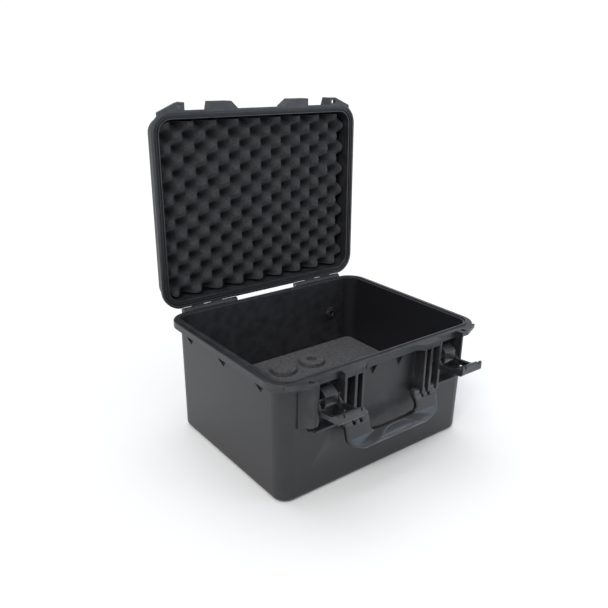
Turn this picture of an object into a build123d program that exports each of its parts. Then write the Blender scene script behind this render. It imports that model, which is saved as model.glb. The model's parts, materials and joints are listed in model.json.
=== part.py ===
from build123d import *
import os
from math import cos, radians, sin, tan

# Hard equipment case: a deep moulded base, a lid on two pinned hinges, two
# over-centre latches and a drop handle. Millimetres. The origin is the centre of
# the base's underside, +X is to the right, -Y is the latch side and +Z is up.
# The lid is drawn open; its pieces are sketched in the shut lid's own levels.

# ---- case
case_width = 430.0
case_depth = 336.8
base_height = 206.8
flange_corner = 37.0
side_overhang = 12.5
front_overhang = 10.4
base_flange_thick = 11.8
wall = 4.0
floor_thick = 4.0
draft_angle = 0.85
underside_round = 9.0
flange_round = 1.4
fit_gap = 0.3

# ---- seam between base and lid
seam_gap = 0.4
ridge_inset = 9.0
ridge_thick = 2.5
ridge_height = 2.0
groove_margin = 0.5
groove_depth = 3.2
seal_thick = 1.0
relief_inset = 4.0
relief_width = 3.8
relief_depth = 2.0

# ---- lid
lid_height = 46.0
lid_flange_thick = 5.3
lid_inset = 10.5
lid_wall = 3.2
lid_top_round = 13.0
lid_open_angle = 91.36
lid_foam_depth = 32.0
lid_foam_margin = 4.8

# ---- hinges
hinge_offset = 5.6
hinge_drop = 1.2
knuckle_radius = 6.0
knuckle_edges = (68.0, 97.0, 119.0, 136.0, 159.0, 179.0)
knuckle_gap = 0.6
knuckle_relief = 0.5
knuckle_root = 5.0
hinge_pin_radius = 2.0
pin_gap = 0.05

# ---- front furniture
front_reach = 10.6
pillar_inner = 65.5
pillar_outer = 104.2
pillar_flare = 15.5
fin_edges = ((0.0, 4.0), (13.5, 18.5), (34.0, 38.7))
platform_thick = 9.8
pocket_width = 48.0
guard_thick = 3.5
guard_sweep = 20.0
guard_drop = 78.8
guard_round = 14.0
apron_drop = 82.0
apron_thick = 3.5
apron_reach = 17.5
apron_scoop = 12.0
gusset_thick = 2.5
gusset_height = 24.0
gusset_step = 104.0
gusset_front_x = 28.0

# ---- padlock ears
ear_reach = 12.6
ear_inner = 152.8
ear_flat = 14.0
ear_run = 48.0
ear_thick = 7.0
padlock_x = 162.0
padlock_reach = 5.2
padlock_radius = 4.5
lid_ear_height = 30.0
lid_ear_slope = 8.0
lid_ear_face = 3.0
lid_ear_border = 3.0
lid_platform_outer = 101.5

# ---- handle
handle_pivot_drop = 84.3
handle_pivot_reach = 2.1
handle_fin_round = 8.8
handle_knuckle = 6.0
handle_cheek_x = 51.0
handle_side_gap = 0.5
handle_swing_gap = 0.6
handle_pin_radius = 2.5
handle_outer = 99.2
handle_drop = 50.5
grip_half = 62.0
grip_height = 23.0
grip_round = 7.0

# ---- latches
latch_gap = 0.8
lever_pivot_drop = 41.3
lever_pivot_reach = 0.2
lever_width = 24.0
lever_barrel = 10.2
lever_rise = 21.2
lever_round = 1.6
link_radius = 5.0
link_tilt = 18.0
latch_pin_radius = 1.5
hook_turn = 270.0
hook_eye = 3.2
hook_clear = 7.0
hook_neck = 3.6
hook_arm_thick = 5.5
hook_arm_top = 10.4
hook_arm_drop = 19.0
hook_groove = 1.5
hook_bar_start = 28.0
hook_bar_drop = 13.6
hook_bar_round = 5.5
hook_clearance = 1.0
hook_lip_thick = 3.2
hook_lip_bite = 3.8
hook_notch = 3.0
hook_catch_gap = 0.3

# ---- foam in the base
foam_height = 71.3
plug_radius = 25.0
plug_proud = 8.5
plug_depth = 30.0
plug_gap = 0.4
plug_bore = 10.0
plug_places = {"plain": (-17.0, 93.0), "ring": (49.0, 91.0)}
slit_x = 100.0
slit_width = 1.2
slit_depth = 14.0
slit_start = 110.0
slit_length = 220.0

# ---- pressure valve
valve_x = 143.0
valve_z = 139.0
valve_stem = 8.0
valve_rim = 13.0
valve_rim_thick = 5.0
valve_nut_size = 12.0
valve_nut_thick = 5.0
valve_seal_thick = 1.5
valve_bore = 5.0

# ---- levels and places worked out from the sizes above
flange_bottom = base_height - base_flange_thick
lid_face = base_height + seam_gap
lid_top = lid_face + lid_height
lid_catch = lid_face + lid_flange_thick
half_width = case_width / 2
half_depth = case_depth / 2
front_edge = -half_depth
body_half_x = half_width - side_overhang
body_half_y = half_depth - front_overhang
taper_in = base_height * tan(radians(draft_angle))
body_corner = flange_corner - front_overhang
front_plane = front_edge - front_reach
hinge_y = half_depth + hinge_offset
hinge_z = base_height - hinge_drop
pocket_outer = pillar_outer + pocket_width
latch_x = pillar_outer + pocket_width / 2
handle_y = front_edge - handle_pivot_reach
handle_z = base_height - handle_pivot_drop
lever_y = front_edge - lever_pivot_reach
lever_z = base_height - lever_pivot_drop
link_y = -link_radius * sin(radians(link_tilt))
link_z = link_radius * cos(radians(link_tilt))
foam_top = floor_thick + fit_gap + foam_height
sides = {"left": -1, "right": 1}

shut = Plane.XY
open_lid = Plane.XY.rotated((-lid_open_angle, 0, 0))
hinge_turned = open_lid.from_local_coords((0, hinge_y, hinge_z))
open_lid = Plane(
    origin=Vector(0, hinge_y, hinge_z) - hinge_turned,
    x_dir=open_lid.x_dir,
    z_dir=open_lid.z_dir,
)

os.makedirs("parts", exist_ok=True)


def side_plane(frame, x):
    """Plane across the case at x, whose own x and y are the frame's y and z."""
    return Plane(origin=frame.from_local_coords((x, 0, 0)), x_dir=frame.y_dir, z_dir=frame.x_dir)


def front_view(frame, y):
    """Plane facing the latch side at y, whose own x and y are the frame's x and z."""
    return Plane(origin=frame.from_local_coords((0, y, 0)), x_dir=frame.x_dir, z_dir=-frame.y_dir)


def inset_outline(inset, mode=Mode.ADD):
    """Rounded rectangle that runs the given distance inside the flange's edge."""
    return RectangleRounded(
        case_width - 2 * inset, case_depth - 2 * inset, flange_corner - inset, mode=mode
    )


def mirrored(side, points):
    """Outline points with x turned to the given side of the case."""
    return [(side * x, y) for x, y in points]


def rounded_block(plane, outline, height, edge_round):
    """Prism of an outline on a plane, with the edges of its far face rounded."""
    with BuildPart() as block:
        with BuildSketch(plane):
            Polygon(*outline, align=None)
        extrude(amount=height)
        fillet(block.faces().sort_by(Axis(plane.origin, plane.z_dir))[-1].edges(), edge_round)
    return block.part


def save(piece, name):
    """Label one finished piece and write its file."""
    piece.part.label = name
    export_step(piece.part, f"parts/{name}.step")


# ---- latch-side features, made as blocks of their own before they join the shells
platforms = {}
padlock_ears = {}
for name, side in sides.items():
    platforms[name] = rounded_block(
        shut.offset(base_height - platform_thick),
        mirrored(side, [
            (pillar_inner - pillar_flare, front_edge + 6),
            (pillar_inner - pillar_flare, front_edge),
            (pillar_inner, front_plane),
            (pillar_outer, front_plane),
            (pillar_outer, front_edge + 6),
        ]),
        platform_thick,
        flange_round,
    )
    padlock_ears[name] = rounded_block(
        shut.offset(base_height - ear_thick),
        mirrored(side, [
            (ear_inner, front_edge + 6),
            (ear_inner, front_edge - ear_reach),
            (ear_inner + ear_flat, front_edge - ear_reach),
            (ear_inner + ear_run, front_edge + 2),
            (ear_inner + ear_run, front_edge + 6),
        ]),
        ear_thick,
        flange_round,
    )

# ---- base shell
guards = {}
for name, side in sides.items():
    with BuildPart() as guard:
        with BuildSketch(Plane.XY.offset(base_height - guard_drop)):
            with BuildLine():
                start = (pocket_outer, 1 - body_half_y + taper_in)
                tip = (pocket_outer + guard_thick, front_plane - 1)
                root = (tip[0] + guard_sweep - 1, tip[1] + guard_sweep)
                Polyline(start, (pocket_outer, tip[1]), tip)
                RadiusArc(tip, root, guard_sweep)
                Polyline(root, (root[0], start[1]), start)
            make_face()
        extrude(amount=guard_drop - 1)
        with BuildSketch(side_plane(shut, pocket_outer)) as profile:
            with BuildLine():
                low = base_height - guard_drop
                Polyline(
                    (start[1], base_height),
                    (tip[1], base_height),
                    (tip[1], low + guard_round),
                )
                RadiusArc(
                    (tip[1], low + guard_round), (tip[1] + guard_round, low), -guard_round
                )
                Polyline((tip[1] + guard_round, low), (start[1], low), (start[1], base_height))
            make_face()
        extrude(amount=guard_sweep + guard_thick, mode=Mode.INTERSECT)
        if side < 0:
            mirror(about=Plane.YZ, mode=Mode.REPLACE)
    guards[name] = guard.part

with BuildPart() as base_shell:
    with BuildSketch():
        RectangleRounded(
            2 * (body_half_x - taper_in), 2 * (body_half_y - taper_in), body_corner - taper_in
        )
    with BuildSketch(Plane.XY.offset(base_height)):
        RectangleRounded(2 * body_half_x, 2 * body_half_y, body_corner)
    loft()
    fillet(base_shell.edges().group_by(Axis.Z)[0], underside_round)
    with BuildSketch(Plane.XY.offset(flange_bottom)):
        inset_outline(0)
    extrude(amount=base_flange_thick)
    rim = base_shell.faces().sort_by(Axis.Z)[-1].outer_wire().edges()
    fillet(rim, flange_round)
    with BuildSketch(Plane.XY.offset(base_height)):
        inset_outline(ridge_inset)
        inset_outline(ridge_inset + ridge_thick, mode=Mode.SUBTRACT)
    extrude(amount=ridge_height)
    with BuildSketch(Plane.XY.offset(floor_thick)):
        RectangleRounded(
            2 * (body_half_x - taper_in - wall),
            2 * (body_half_y - taper_in - wall),
            body_corner - taper_in - wall,
        )
    with BuildSketch(Plane.XY.offset(base_height)):
        RectangleRounded(
            2 * (body_half_x - wall), 2 * (body_half_y - wall), body_corner - wall
        )
    loft(mode=Mode.SUBTRACT)

    for name, side in sides.items():
        # handle pillars: a flared platform on fins
        add(platforms[name])
        for near, far in fin_edges:
            x_start = side * (pillar_inner + near)
            with BuildSketch(side_plane(shut, x_start)):
                with Locations((handle_y, handle_z)):
                    Circle(handle_fin_round)
                Polygon(
                    (handle_y - handle_fin_round, handle_z),
                    (handle_y - handle_fin_round, base_height - 1),
                    (1 - body_half_y + taper_in, base_height - 1),
                    (1 - body_half_y + taper_in, handle_z - handle_fin_round),
                    (handle_y, handle_z - handle_fin_round),
                    align=None,
                )
            extrude(amount=side * (far - near))
        # latch pocket: outer guard and the scooped apron below the lever
        add(guards[name])
        with BuildSketch(side_plane(shut, side * pillar_outer)):
            with BuildLine():
                lip_y = front_edge - apron_reach + front_overhang
                lip_z = base_height - apron_drop
                back_y = 1 - body_half_y + taper_in
                Polyline(
                    (back_y, lip_z - apron_scoop),
                    (back_y, lip_z),
                    (lip_y, lip_z),
                    (lip_y, lip_z - apron_thick),
                )
                RadiusArc(
                    (lip_y, lip_z - apron_thick), (back_y, lip_z - apron_scoop), 3 * apron_scoop
                )
            make_face()
        extrude(amount=side * (pocket_width + 1))
        # padlock ear
        add(padlock_ears[name])
        with Locations((side * padlock_x, front_edge - padlock_reach, base_height)):
            Hole(padlock_radius, depth=ear_thick + 1)
        # gussets under the front and back of the flange
        for back in (-1, 1):
            with BuildSketch(side_plane(shut, side * gusset_front_x - gusset_thick / 2)):
                Polygon(
                    (back * (body_half_y - 2), flange_bottom + 1),
                    (back * (half_depth - 1), flange_bottom + 1),
                    (back * (half_depth - 1), flange_bottom),
                    (back * (body_half_y - 2), flange_bottom - gusset_height),
                    align=None,
                )
            extrude(amount=gusset_thick)
        # gussets under the side of the flange
        for step in (-1, 0, 1):
            with BuildSketch(front_view(shut, step * gusset_step + gusset_thick / 2)):
                Polygon(
                    *mirrored(side, [
                        (body_half_x - 2, flange_bottom + 1),
                        (half_width - 1, flange_bottom + 1),
                        (half_width - 1, flange_bottom),
                        (body_half_x - 2, flange_bottom - gusset_height),
                    ]),
                    align=None,
                )
            extrude(amount=gusset_thick)
        # hinge knuckles: the first, third and fifth belong to the base
        for first in (0, 1, 2, 3, 4):
            low, high = knuckle_edges[first], knuckle_edges[first + 1]
            if first % 2:
                with BuildSketch(side_plane(shut, side * (low - knuckle_relief))):
                    with Locations((hinge_y, hinge_z)):
                        Circle(knuckle_radius + knuckle_relief)
                extrude(
                    amount=side * (high - low + 2 * knuckle_relief), mode=Mode.SUBTRACT
                )
        for first in (0, 2, 4):
            low = knuckle_edges[first] + knuckle_gap / 2
            high = knuckle_edges[first + 1] - knuckle_gap / 2
            with BuildSketch(side_plane(shut, side * low)):
                with Locations((hinge_y, hinge_z)):
                    Circle(knuckle_radius)
                Polygon(
                    (hinge_y, hinge_z),
                    (half_depth - knuckle_root, hinge_z),
                    (half_depth - knuckle_root, hinge_z - knuckle_radius),
                    (hinge_y, hinge_z - knuckle_radius),
                    align=None,
                )
            extrude(amount=side * (high - low))
        # pin holes: hinge, handle and latch
        for x_low, x_high, hole_y, hole_z, radius in (
            (knuckle_edges[0], knuckle_edges[-1], hinge_y, hinge_z, hinge_pin_radius),
            (pillar_inner - 1, pillar_outer + 1, handle_y, handle_z, handle_pin_radius),
            (pillar_outer - 6, pocket_outer + 3.5, lever_y, lever_z, latch_pin_radius),
        ):
            with BuildSketch(side_plane(shut, side * x_low)):
                with Locations((hole_y, hole_z)):
                    Circle(radius + pin_gap)
            extrude(amount=side * (x_high - x_low), mode=Mode.SUBTRACT)
    # stem hole of the pressure valve
    with BuildSketch(front_view(shut, body_half_y + 2)):
        with Locations((valve_x, valve_z)):
            Circle(valve_stem + pin_gap)
    extrude(amount=-4 * wall, mode=Mode.SUBTRACT, both=True)
save(base_shell, "base_shell")

# ---- foam block with its lift-out plugs
with BuildPart() as base_foam:
    low = floor_thick + fit_gap
    inset = wall + fit_gap
    with BuildSketch(Plane.XY.offset(low)):
        RectangleRounded(
            2 * (body_half_x - taper_in - inset),
            2 * (body_half_y - taper_in - inset),
            body_corner - taper_in - inset,
        )
    extrude(amount=foam_height)
    for x, y in plug_places.values():
        with Locations((x, y, foam_top)):
            Hole(plug_radius + plug_gap, depth=plug_depth)
    with BuildSketch(Plane.XY.offset(foam_top)):
        with Locations((slit_x, slit_start - slit_length / 2)):
            Rectangle(slit_width, slit_length)
    extrude(amount=-slit_depth, mode=Mode.SUBTRACT)
save(base_foam, "base_foam")

for name, (x, y) in plug_places.items():
    with BuildPart() as plug:
        with BuildSketch(Plane.XY.offset(foam_top - plug_depth + fit_gap)):
            with Locations((x, y)):
                Circle(plug_radius)
        extrude(amount=plug_depth + plug_proud - fit_gap)
        if name == "ring":
            with Locations((x, y, foam_top + plug_proud)):
                Hole(plug_bore, depth=plug_depth)
    save(plug, f"foam_plug_{name}")

# ---- steel pins of the hinges, the handle and the latches
for name, side in sides.items():
    for part_name, x_low, x_high, pin_y, pin_z, radius in (
        ("hinge_pin", knuckle_edges[0] + 1, knuckle_edges[-1] - 1, hinge_y, hinge_z,
         hinge_pin_radius),
        ("handle_pin", handle_cheek_x + 2, pillar_outer, handle_y, handle_z,
         handle_pin_radius),
        ("latch_pin", pillar_outer - 4, pocket_outer + 3, lever_y, lever_z,
         latch_pin_radius),
    ):
        with BuildPart() as pin:
            with BuildSketch(side_plane(shut, side * x_low)):
                with Locations((pin_y, pin_z)):
                    Circle(radius)
            extrude(amount=side * (x_high - x_low))
            chamfer(pin.edges().filter_by(GeomType.CIRCLE), radius / 5)
        save(pin, f"{part_name}_{name}")

# ---- pressure valve in the back wall
valve_wall_out = body_half_y - taper_in * (1 - valve_z / base_height) + fit_gap
valve_wall_in = valve_wall_out - wall - 2 * fit_gap
seal_out = valve_wall_out + valve_seal_thick
with BuildPart() as valve_body:
    with BuildSketch(front_view(shut, seal_out)):
        with Locations((valve_x, valve_z)):
            Circle(valve_rim)
    extrude(amount=-valve_rim_thick)
    fillet(valve_body.faces().sort_by(Axis.Y)[-1].edges(), 1.5)
    with BuildSketch(front_view(shut, seal_out)):
        with Locations((valve_x, valve_z)):
            Circle(valve_stem)
    extrude(amount=seal_out - valve_wall_in + valve_nut_thick + 1)
    with BuildSketch(front_view(shut, seal_out - 2)):
        with Locations((valve_x, valve_z)):
            Circle(valve_bore)
    extrude(amount=4 * wall, mode=Mode.SUBTRACT)
    for vent in range(6):
        with BuildSketch(front_view(shut, seal_out + valve_rim_thick)):
            with Locations((valve_x, valve_z)):
                with PolarLocations(3, 1, start_angle=60 * vent):
                    Circle(0.8)
        extrude(amount=valve_rim_thick + 3, mode=Mode.SUBTRACT)
save(valve_body, "valve_body")

with BuildPart() as valve_seal:
    with BuildSketch(front_view(shut, valve_wall_out)):
        with Locations((valve_x, valve_z)):
            Circle(valve_rim - 1)
            Circle(valve_stem + fit_gap, mode=Mode.SUBTRACT)
    extrude(amount=-valve_seal_thick + pin_gap)
save(valve_seal, "valve_seal")

with BuildPart() as valve_nut:
    with BuildSketch(front_view(shut, valve_wall_in)):
        with Locations((valve_x, valve_z)):
            RegularPolygon(valve_nut_size, 6)
            Circle(valve_stem + pin_gap, mode=Mode.SUBTRACT)
    extrude(amount=valve_nut_thick)
save(valve_nut, "valve_nut")

with BuildPart() as valve_membrane:
    with BuildSketch(front_view(shut, seal_out - 2 - fit_gap)):
        with Locations((valve_x, valve_z)):
            Circle(valve_bore - pin_gap)
    extrude(amount=0.8)
save(valve_membrane, "valve_membrane")

# ---- lid shell, sketched at its shut levels and drawn open
with BuildPart() as lid_hollow:
    with BuildSketch(open_lid.offset(lid_face)):
        inset_outline(lid_inset + lid_wall)
    extrude(amount=lid_height - lid_wall)
    fillet(lid_hollow.faces().sort_by(Axis.Y)[-1].edges(), lid_top_round - lid_wall)

with BuildPart() as lid_shell:
    with BuildSketch(open_lid.offset(lid_catch - 1)):
        inset_outline(lid_inset)
    with BuildSketch(open_lid.offset(lid_top)):
        inset_outline(lid_inset + lid_height * tan(radians(draft_angle)))
    loft()
    crown = lid_shell.faces().sort_by(SortBy.AREA)[-2:].sort_by(Axis.Y)[-1]
    fillet(crown.edges(), lid_top_round)
    with BuildSketch(open_lid.offset(lid_face)):
        inset_outline(0)
    extrude(amount=lid_flange_thick)
    for name, side in sides.items():
        # latch-side ears: a platform beside the latch gap and a padlock ear
        ear_front = front_edge - ear_reach
        ear_outlines = (
            [
                (pillar_inner - pillar_flare, front_edge + lid_inset + 1),
                (pillar_inner - pillar_flare, front_edge),
                (pillar_inner - 2, ear_front),
                (lid_platform_outer, ear_front),
                (lid_platform_outer, front_edge + lid_inset + 1),
            ],
            [
                (ear_inner, front_edge + lid_inset + 1),
                (ear_inner, ear_front),
                (ear_inner + ear_flat, ear_front),
                (ear_inner + ear_run, front_edge + 2),
                (ear_inner + ear_run, front_edge + lid_inset + 5),
            ],
        )
        for outline, height in zip(ear_outlines, (lid_ear_height, ear_thick)):
            with BuildSketch(open_lid.offset(lid_face)) as ear_plan:
                Polygon(*mirrored(side, outline), align=None)
            extrude(amount=height)
            with BuildSketch(open_lid.offset(lid_face)):
                add(offset(ear_plan.sketch, -lid_ear_border, mode=Mode.PRIVATE))
                with Locations((0, front_edge + lid_inset)):
                    Rectangle(case_width, 2 * lid_inset, mode=Mode.SUBTRACT)
            extrude(amount=lid_ear_face, mode=Mode.SUBTRACT)
        # rib beside the latch gap that stiffens the padlock ear
        with BuildSketch(side_plane(open_lid, side * ear_inner)):
            Polygon(
                (ear_front, lid_face), (front_edge + lid_inset + 1, lid_face),
                (front_edge + lid_inset + 1, lid_face + lid_ear_height),
                (ear_front, lid_face + lid_ear_height),
                align=None,
            )
        extrude(amount=side * lid_ear_border)
        # slope the top of the ears down towards their front
        with BuildSketch(side_plane(open_lid, 0)):
            Polygon(
                (ear_front - 1, lid_face + lid_ear_height + 1),
                (front_edge + lid_inset, lid_face + lid_ear_height + 1),
                (ear_front - 1, lid_face + lid_ear_height - lid_ear_slope),
                align=None,
            )
        extrude(amount=side * half_width, mode=Mode.SUBTRACT)
        with BuildSketch(open_lid.offset(lid_face)):
            with Locations((side * padlock_x, front_edge - padlock_reach)):
                Circle(padlock_radius)
        extrude(amount=lid_ear_height, mode=Mode.SUBTRACT)
        # hinge knuckles: the second and fourth belong to the lid
        for first in (0, 2, 4):
            low, high = knuckle_edges[first], knuckle_edges[first + 1]
            with BuildSketch(side_plane(open_lid, side * (low - knuckle_relief))):
                with Locations((hinge_y, hinge_z)):
                    Circle(knuckle_radius + knuckle_relief)
            extrude(amount=side * (high - low + 2 * knuckle_relief), mode=Mode.SUBTRACT)
        for first in (1, 3):
            low = knuckle_edges[first] + knuckle_gap / 2
            high = knuckle_edges[first + 1] - knuckle_gap / 2
            with BuildSketch(side_plane(open_lid, side * low)):
                with Locations((hinge_y, hinge_z)):
                    Circle(knuckle_radius)
                Polygon(
                    (hinge_y, lid_face),
                    (half_depth - knuckle_root, lid_face),
                    (half_depth - knuckle_root, hinge_z + knuckle_radius),
                    (hinge_y, hinge_z + knuckle_radius),
                    align=None,
                )
            extrude(amount=side * (high - low))
            with BuildSketch(side_plane(open_lid, side * low)):
                with Locations((hinge_y, hinge_z)):
                    Circle(hinge_pin_radius + pin_gap)
            extrude(amount=side * (high - low), mode=Mode.SUBTRACT)
    # hollow, seal groove and relief groove
    add(lid_hollow.part, mode=Mode.SUBTRACT)
    for inset, width, depth in (
        (ridge_inset - groove_margin, ridge_thick + 2 * groove_margin, groove_depth),
        (relief_inset, relief_width, relief_depth),
    ):
        with BuildSketch(open_lid.offset(lid_face)):
            inset_outline(inset)
            inset_outline(inset + width, mode=Mode.SUBTRACT)
        extrude(amount=depth, mode=Mode.SUBTRACT)
save(lid_shell, "lid_shell")

with BuildPart() as lid_seal:
    with BuildSketch(open_lid.offset(lid_face + groove_depth - seal_thick)):
        inset_outline(ridge_inset - groove_margin + pin_gap)
        inset_outline(ridge_inset + ridge_thick + groove_margin - pin_gap, mode=Mode.SUBTRACT)
    extrude(amount=seal_thick - pin_gap)
save(lid_seal, "lid_seal")

with BuildPart() as lid_foam:
    foam_ceiling = lid_top - lid_wall - fit_gap
    with BuildSketch(open_lid.offset(foam_ceiling - lid_foam_depth)):
        inset_outline(lid_inset + lid_wall + lid_foam_margin)
    extrude(amount=lid_foam_depth)
    foam_bevel = lid_top_round - lid_wall - lid_foam_margin
    chamfer(lid_foam.faces().sort_by(Axis.Y)[-1].edges(), foam_bevel)
save(lid_foam, "lid_foam")

# ---- drop handle: arms and grip cut to the front outline, knuckles on the pin
with BuildPart() as handle:
    arm_top = handle_z - handle_fin_round - handle_swing_gap
    low = handle_z - handle_drop
    with BuildSketch(side_plane(shut, -handle_outer)):
        with BuildLine():
            Polyline(
                (handle_y - 5, handle_z),
                (handle_y - 10.5, arm_top - 3),
                (handle_y - 13.5, arm_top - 18),
                (handle_y - 22.5, low + 10),
                (handle_y - 22.5, low),
                (handle_y - 11.5, low),
                (handle_y - 6.5, low + grip_height),
                (handle_y - 1, arm_top - 2),
                (handle_y + 2, handle_z),
                (handle_y - 5, handle_z),
            )
        make_face()
    extrude(amount=2 * handle_outer)
    with BuildSketch(side_plane(shut, -grip_half)) as grip_profile:
        Polygon(
            (handle_y - 24, low),
            (handle_y - 28, low + 8),
            (handle_y - 27.5, low + 17),
            (handle_y - 19, low + grip_height + 1),
            (handle_y - 6.5, low + grip_height),
            (handle_y - 8.5, low + 8),
            (handle_y - 12, low),
            align=None,
        )
        fillet(grip_profile.vertices(), 3.5)
    extrude(amount=2 * grip_half)
    with BuildSketch(front_view(shut, front_edge - 40)) as front_outline:
        Polygon(
            (-handle_outer, handle_z + handle_knuckle + 1),
            (-handle_outer, low + 20),
            (-handle_outer + 3, low + 13),
            (-handle_outer + 32.5, low),
            (handle_outer - 32.5, low),
            (handle_outer - 3, low + 13),
            (handle_outer, low + 20),
            (handle_outer, handle_z + handle_knuckle + 1),
            align=None,
        )
        with Locations((0, low + grip_height + 40)):
            RectangleRounded(2 * handle_cheek_x, 80, grip_round, mode=Mode.SUBTRACT)
    extrude(amount=-60, mode=Mode.INTERSECT)
    for side in sides.values():
        for near, far in fin_edges:
            with BuildSketch(side_plane(shut, side * (pillar_inner + near - handle_side_gap))):
                with Locations((handle_y, handle_z)):
                    Circle(handle_fin_round + handle_swing_gap)
                with Locations((handle_y, handle_z)):
                    Rectangle(40, 20, align=(Align.CENTER, Align.MIN))
                with Locations((handle_y, handle_z - handle_fin_round - handle_swing_gap)):
                    Rectangle(20, 20, align=(Align.MAX, Align.MIN))
            extrude(
                amount=side * (far - near + 2 * handle_side_gap), mode=Mode.SUBTRACT
            )
        x_low = handle_cheek_x
        for near, far in fin_edges:
            x_high = pillar_inner + near - handle_side_gap
            with BuildSketch(side_plane(shut, side * x_low)):
                with Locations((handle_y, handle_z)):
                    Circle(handle_knuckle)
            extrude(amount=side * (x_high - x_low))
            x_low = pillar_inner + far + handle_side_gap
        with BuildSketch(side_plane(shut, side * handle_cheek_x)):
            with Locations((handle_y, handle_z)):
                Circle(handle_pin_radius + pin_gap)
        extrude(amount=side * (pillar_outer - handle_cheek_x), mode=Mode.SUBTRACT)
save(handle, "handle")

# ---- latches: lever on the case, hook on the lever
for name, side in sides.items():
    centre = side * latch_x
    half = pocket_width / 2 - latch_gap
    eye_y = lever_y + link_y
    eye_z = lever_z + link_z
    with BuildPart() as lever:
        with BuildSketch(side_plane(shut, centre - lever_width / 2)) as lever_profile:
            with BuildLine():
                Polyline(
                    (lever_y + lever_barrel, lever_z),
                    (lever_y + 6.5, lever_z + lever_rise - 3),
                    (lever_y + 4, lever_z + lever_rise),
                    (lever_y - 7, lever_z + lever_rise - 4.5),
                    (lever_y - lever_barrel, lever_z + lever_rise - 8.5),
                    (lever_y - lever_barrel, lever_z),
                )
                RadiusArc(
                    (lever_y - lever_barrel, lever_z), (lever_y, lever_z - lever_barrel),
                    -lever_barrel,
                )
                RadiusArc(
                    (lever_y, lever_z - lever_barrel), (lever_y + lever_barrel, lever_z),
                    -lever_barrel,
                )
            make_face()
        extrude(amount=lever_width)
        fillet(lever.edges().filter_by(Axis.X), lever_round)
        fillet(lever.faces().filter_by(Axis.X).edges(), lever_round / 2)
        for hole_y, hole_z in ((lever_y, lever_z), (eye_y, eye_z)):
            with BuildSketch(side_plane(shut, centre - lever_width / 2)):
                with Locations((hole_y, hole_z)):
                    Circle(latch_pin_radius + pin_gap)
            extrude(amount=lever_width, mode=Mode.SUBTRACT)
    save(lever, f"latch_lever_{name}")

    with BuildPart() as hook_pin:
        with BuildSketch(side_plane(shut, centre - half)):
            with Locations((eye_y, eye_z)):
                Circle(latch_pin_radius)
        extrude(amount=2 * half)
    save(hook_pin, f"hook_pin_{name}")

    # the hook's own plane: x outwards, y up; shut, x is up and y points at the case
    hook_face = Plane(
        origin=(centre + half, eye_y, eye_z), x_dir=(0, -1, 0), z_dir=(-1, 0, 0)
    )
    shut_eye_y = lever_y - link_y
    reach = lid_catch + hook_catch_gap + hook_lip_thick - (lever_z - link_z)
    bar_top = front_edge - hook_clearance - shut_eye_y
    lip_top = front_edge + hook_lip_bite - shut_eye_y
    lip_start = reach - hook_lip_thick
    neck_angle = 90 - link_tilt - hook_turn / 2
    with BuildPart() as hook:
        for arm_start in (0, 2 * half - hook_arm_thick):
            with BuildSketch(hook_face.offset(arm_start)):
                with BuildLine():
                    Polyline(
                        (12, -hook_arm_top), (lip_start - 9, -hook_arm_top + 3),
                        (lip_start - 8, bar_top), (lip_start, bar_top),
                        (reach - hook_bar_round, -hook_bar_drop), (10, -hook_arm_drop),
                        (2, -hook_arm_drop + 1), (-1.5, -13), (-1.5, -8), (1.5, -5),
                        (4.8, -4.2),
                    )
                    RadiusArc((4.8, -4.2), (12, -hook_arm_top), -9)
                make_face()
                Circle(hook_clear, mode=Mode.SUBTRACT)
                Circle(hook_eye)
                Rectangle(
                    hook_clear + 2, hook_neck, rotation=neck_angle,
                    align=(Align.MIN, Align.CENTER),
                )
                Circle(latch_pin_radius + pin_gap, mode=Mode.SUBTRACT)
            extrude(amount=hook_arm_thick)
            with BuildSketch(hook_face.offset(arm_start + (hook_arm_thick - hook_groove) / 2)):
                Polygon(
                    (12, -hook_arm_top - 3), (lip_start - 12, -hook_arm_top),
                    (lip_start - 12, 0), (12, 0),
                    align=None,
                )
            extrude(amount=hook_groove, mode=Mode.SUBTRACT)
        with BuildSketch(hook_face) as bar_profile:
            Polygon(
                (hook_bar_start, -hook_bar_drop - 3), (reach, -hook_bar_drop),
                (reach, bar_top), (lip_start - 8, bar_top),
                (hook_bar_start, -hook_bar_drop + 1),
                align=None,
            )
            outer = bar_profile.vertices().group_by(Axis.X)[-1].sort_by(Axis.Y)[0]
            fillet(outer, hook_bar_round)
        extrude(amount=2 * half)
        notch_end = hook_arm_thick + hook_notch
        for lip_from, lip_to in (
            (0, hook_arm_thick), (notch_end, 2 * half - notch_end),
            (2 * half - hook_arm_thick, 2 * half),
        ):
            with BuildSketch(hook_face.offset(lip_from)):
                Polygon(
                    (lip_start, bar_top - 2), (reach, bar_top - 2), (reach, lip_top - 2),
                    (reach - 1.5, lip_top), (lip_start, lip_top),
                    align=None,
                )
            extrude(amount=lip_to - lip_from)
    save(hook, f"latch_hook_{name}")
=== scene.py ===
"""Looks of a hard equipment case: moulded shells, satin latches, foam linings and steel pins.

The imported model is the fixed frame. Every length is in metres, in the case's own axes: +X to the
right, -Y towards the latches, +Z up, with the origin at the centre of the base's underside.
"""

import json
import logging
import math
from dataclasses import dataclass, field
from enum import Enum
from typing import Callable, Dict, List, Sequence, Tuple

import bmesh
import bpy
import numpy as np
from mathutils import Matrix, Vector

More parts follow.
